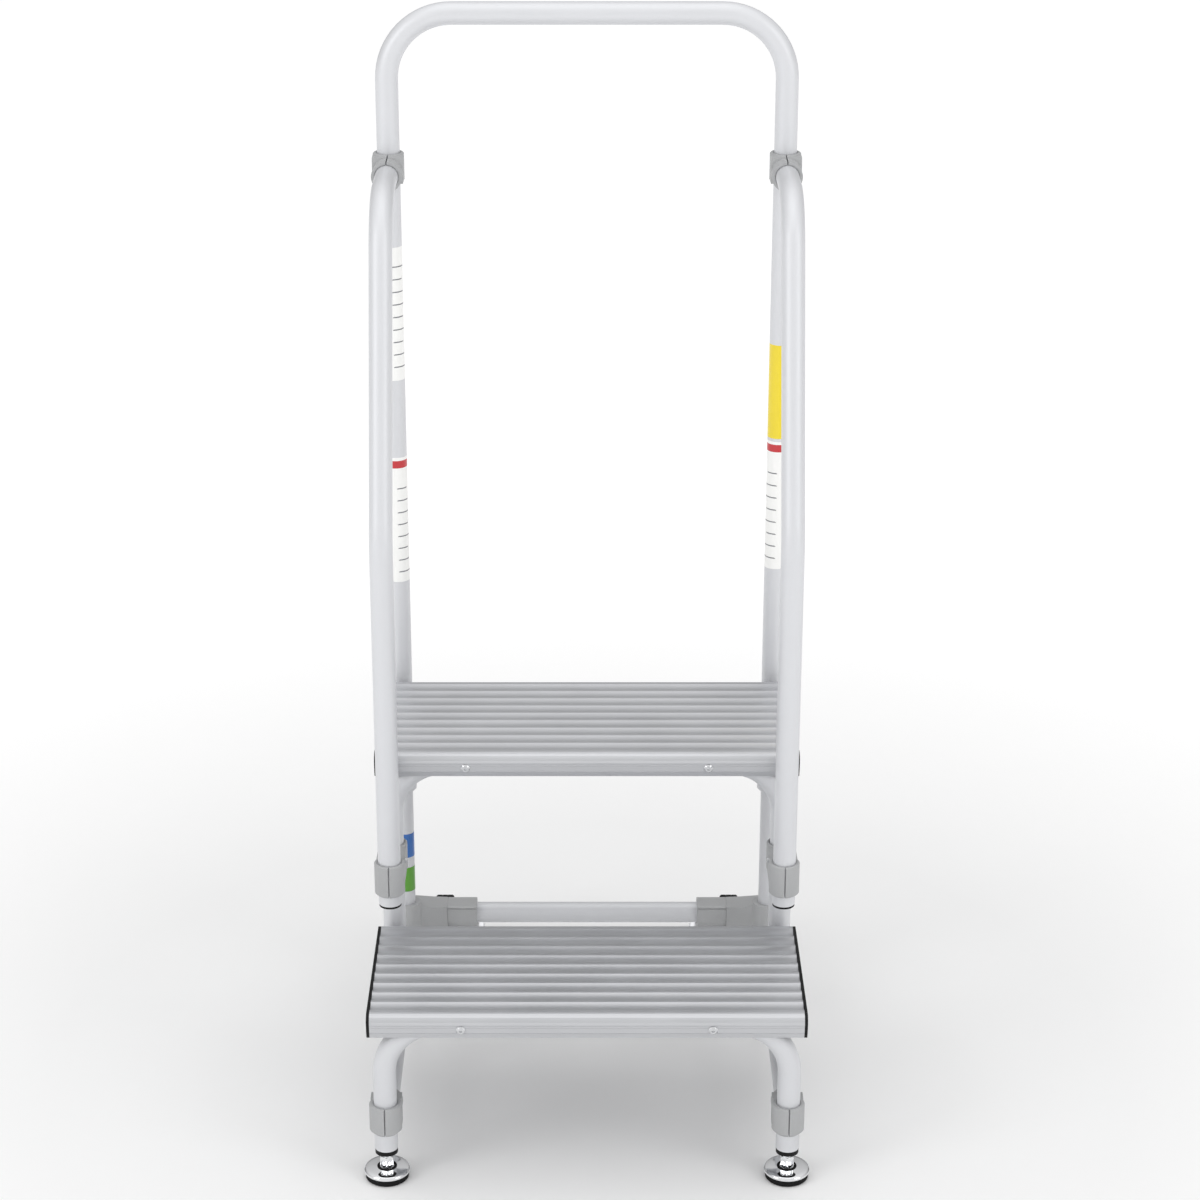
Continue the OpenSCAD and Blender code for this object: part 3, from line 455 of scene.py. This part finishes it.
def left_labels():
    x = -LEG_X
    band_z = 0.808
    label("label_upper_left", LABEL_WHITE, x, TUBE_R, 0.932, 1.115, WRAP)
    text_bars("label_upper_left", x, 0.945, 1.10, 9)
    label("label_lower_left", LABEL_WHITE, x, TUBE_R, 0.643, 0.823, WRAP)
    label("label_band_left", LABEL_RED, x, TUBE_R, band_z, band_z + BAND_H, BAND_WRAP, PRINT_LIFT)
    text_bars("label_lower_left", x, 0.652, 0.79, 8)
    label("label_blue_left", LABEL_BLUE, x, SLIM_R, 0.219, 0.256, SLIM_WRAP)
    label("label_green_left", LABEL_GREEN, x, SLIM_R, 0.165, 0.203, SLIM_WRAP)


def right_labels():
    x = LEG_X
    band_z = 0.831
    label("label_yellow_right", LABEL_YELLOW, x, TUBE_R, 0.85, 0.981, WRAP)
    label("label_lower_right", LABEL_WHITE, x, TUBE_R, 0.662, 0.8455, WRAP)
    label("label_band_right", LABEL_RED, x, TUBE_R, band_z, band_z + BAND_H, BAND_WRAP, PRINT_LIFT)
    text_bars("label_lower_right", x, 0.672, 0.812, 8)


left_labels()
right_labels()

# ---------------------------------------------------------------- floor, light and camera

FLOOR_HALF = 30
FLOOR_DROP = 0.2 * MM
# Painted light: the floor's emission grows with the distance from the ladder, so that it fades to white;
# near the ladder the floor stays darker as painted shade
PAINTED_GLOW_NEAR = 0.75
PAINTED_GLOW_FAR = 2.4
PAINTED_GLOW_STRENGTH = 0.3


def floor_with_painted_glow():
    mat = surface("floor_white", (0.93, 0.93, 0.93), 0.0, 0.8, 60, 0.0001, tone=0.003, spread=0.02)
    nodes = mat.node_tree.nodes
    link = mat.node_tree.links.new
    shader = nodes["Principled BSDF"]
    coords = nodes.new("ShaderNodeTexCoord")
    distance = nodes.new("ShaderNodeVectorMath")
    distance.operation = "LENGTH"
    # Painted light: the emission strength rises from nothing near the ladder to its full value far away
    painted_glow = nodes.new("ShaderNodeMapRange")
    painted_glow.inputs["From Min"].default_value = PAINTED_GLOW_NEAR
    painted_glow.inputs["From Max"].default_value = PAINTED_GLOW_FAR
    painted_glow.inputs["To Max"].default_value = PAINTED_GLOW_STRENGTH
    link(coords.outputs["Object"], distance.inputs[0])
    link(distance.outputs["Value"], painted_glow.inputs["Value"])
    # The painted glow drives the floor's emission, so the floor glows as if lit
    link(painted_glow.outputs["Result"], shader.inputs["Emission Strength"])
    shader.inputs["Emission Color"].default_value = (1, 1, 1, 1)
    return mat


floor_mesh = bpy.data.meshes.new("floor")
floor_corners = [(x, y, 0) for x, y in ((-FLOOR_HALF, -FLOOR_HALF), (FLOOR_HALF, -FLOOR_HALF),
                                        (FLOOR_HALF, FLOOR_HALF), (-FLOOR_HALF, FLOOR_HALF))]
floor_mesh.from_pydata(floor_corners, [], [(0, 1, 2, 3)])
floor = bpy.data.objects.new("floor", floor_mesh)
floor.location.z = FLOOR_Z - FLOOR_DROP
bpy.context.collection.objects.link(floor)
floor_mesh.materials.append(floor_with_painted_glow())

SKY_FRONT = 1.0
SKY_BACK = 0.2
SKY_TOP = 1.15
SKY_TURN = 0.7
SKY_LOW = 0.05
SKY_HIGH = 0.95
world = bpy.data.worlds.new("studio")
bpy.context.scene.world = world
world.use_nodes = True
sky = world.node_tree
for old in list(sky.nodes):
    sky.nodes.remove(old)
sky_out = sky.nodes.new("ShaderNodeOutputWorld")
sky_back = sky.nodes.new("ShaderNodeBackground")
sky_coords = sky.nodes.new("ShaderNodeTexCoord")
sky_split = sky.nodes.new("ShaderNodeSeparateXYZ")
sky_depth = sky.nodes.new("ShaderNodeMapRange")
sky_depth.inputs["From Min"].default_value = -SKY_TURN
sky_depth.inputs["From Max"].default_value = SKY_TURN
sky_depth.inputs["To Min"].default_value = SKY_FRONT
sky_depth.inputs["To Max"].default_value = SKY_BACK
sky_height = sky.nodes.new("ShaderNodeMapRange")
sky_height.inputs["From Min"].default_value = SKY_LOW
sky_height.inputs["From Max"].default_value = SKY_HIGH
sky_mix = sky.nodes.new("ShaderNodeMix")
sky_mix.inputs["B"].default_value = SKY_TOP
sky.links.new(sky_coords.outputs["Generated"], sky_split.inputs[0])
sky.links.new(sky_split.outputs["Y"], sky_depth.inputs["Value"])
sky.links.new(sky_split.outputs["Z"], sky_height.inputs["Value"])
sky.links.new(sky_height.outputs["Result"], sky_mix.inputs["Factor"])
sky.links.new(sky_depth.outputs["Result"], sky_mix.inputs["A"])
sky.links.new(sky_mix.outputs["Result"], sky_back.inputs["Strength"])
sky.links.new(sky_back.outputs[0], sky_out.inputs[0])


def softbox(name, place, target, size, power):
    data = bpy.data.lights.new(name, "AREA")
    data.shape = "RECTANGLE"
    data.size, data.size_y = size
    data.energy = power
    obj = bpy.data.objects.new(name, data)
    bpy.context.collection.objects.link(obj)
    obj.location = place
    obj.rotation_euler = (Vector(target) - Vector(place)).to_track_quat("-Z", "Y").to_euler()


AIM = (0, 0, 0.6)
softbox("key_left", (-3.4, -2.4, 2.6), AIM, (1.6, 2.6), 30)
softbox("key_right", (3.4, -2.4, 2.6), AIM, (1.6, 2.6), 24)
softbox("top", (0, -0.3, 4.2), AIM, (3.5, 3.5), 24)

LENS_MM = 87.6
CAMERA_BACK = 3.274
CAMERA_HEIGHT = 2.082
CAMERA_PITCH = 21.3
CAMERA_SHIFT = 0.0109
camera_data = bpy.data.cameras.new("camera")
camera_data.sensor_width = 36
camera_data.lens = LENS_MM
camera_data.shift_x = CAMERA_SHIFT
camera = bpy.data.objects.new("camera", camera_data)
bpy.context.collection.objects.link(camera)
camera.location = (0, FRONT_LEG_Y - CAMERA_BACK, CAMERA_HEIGHT)
camera.rotation_euler = (math.radians(90 - CAMERA_PITCH), 0, 0)
bpy.context.scene.camera = camera
bpy.context.scene.view_settings.view_transform = "Standard"
